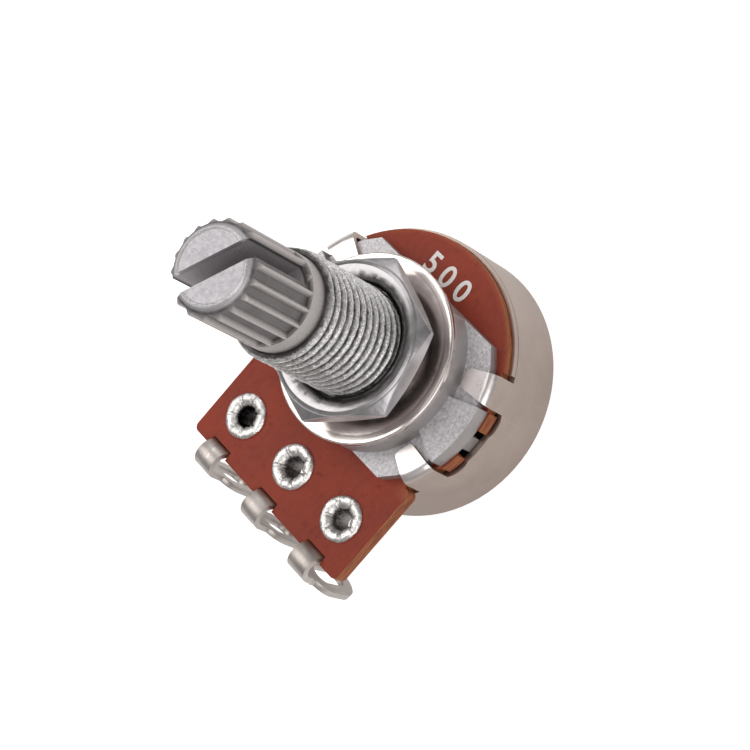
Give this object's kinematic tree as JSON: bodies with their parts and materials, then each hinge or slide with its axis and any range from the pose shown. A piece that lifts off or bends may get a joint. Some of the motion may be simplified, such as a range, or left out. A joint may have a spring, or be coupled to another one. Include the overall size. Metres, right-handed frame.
{
  "type": "rotary potentiometer",
  "caption": "Rotary potentiometer with a split splined shaft, threaded bushing, hexagon nut and washer, folded-tab metal can, and solder lugs on a board tail.",
  "frame": {"origin": "centre of the can's flat back face, on the shaft's axis", "axes": "+Z along the shaft towards its tip, -Y from the axis towards the solder lugs, +X to the right lug"},
  "size_m": [0.017, 0.0217, 0.0265],
  "materials": {
    "can_steel": "satin nickel-plated sheet with fine scratches",
    "phenolic": "reddish-brown paper laminate with cut orange-brown edges",
    "diecast_zinc": "as-cast zinc plate with a worn rolled thread",
    "washer_steel": "bright plated, slightly warm",
    "nut_steel": "grey zinc plating, rubbed on its edges",
    "shaft_zinc": "matte grey casting, brighter on its ridges",
    "clip_steel": "plain spring steel",
    "washer_brass": "plain sheet",
    "rotor_resin": "black moulded resin",
    "wiper_bronze": "plated spring bronze",
    "carbon_ink": "printed carbon",
    "silver_ink": "printed silver",
    "eyelet_tin": "bright tin, crimped and uneven",
    "lug_tin": "dull tin-plated strip"
  },
  "bodies": {
    "housing": {"can": "can_steel", "terminal_board": "phenolic", "bushing_plate": "diecast_zinc", "flat_washer": "washer_steel", "resistive_track": "carbon_ink", "collector_print": "silver_ink", "end_print_left": "silver_ink", "end_print_right": "silver_ink", "eyelet_left": "eyelet_tin", "eyelet_middle": "eyelet_tin", "eyelet_right": "eyelet_tin", "lug_left": "lug_tin", "lug_middle": "lug_tin", "lug_right": "lug_tin"},
    "spindle": {"shaft": "shaft_zinc", "retaining_clip": "clip_steel", "thrust_washer": "washer_brass", "rotor": "rotor_resin", "wiper": "wiper_bronze"},
    "nut": {"hex_nut": "nut_steel"}
  },
  "joints": [
    {"name": "shaft_turn", "type": "hinge", "parent": "housing", "child": "spindle", "pos_m": [0, 0, 0], "axis": [0, 0, 1], "range_deg": [-150, 150]},
    {"name": "nut_travel", "type": "slide", "parent": "housing", "child": "nut", "axis": [0, 0, 1], "range_m": [-0.00105, 0.0073]}
  ]
}
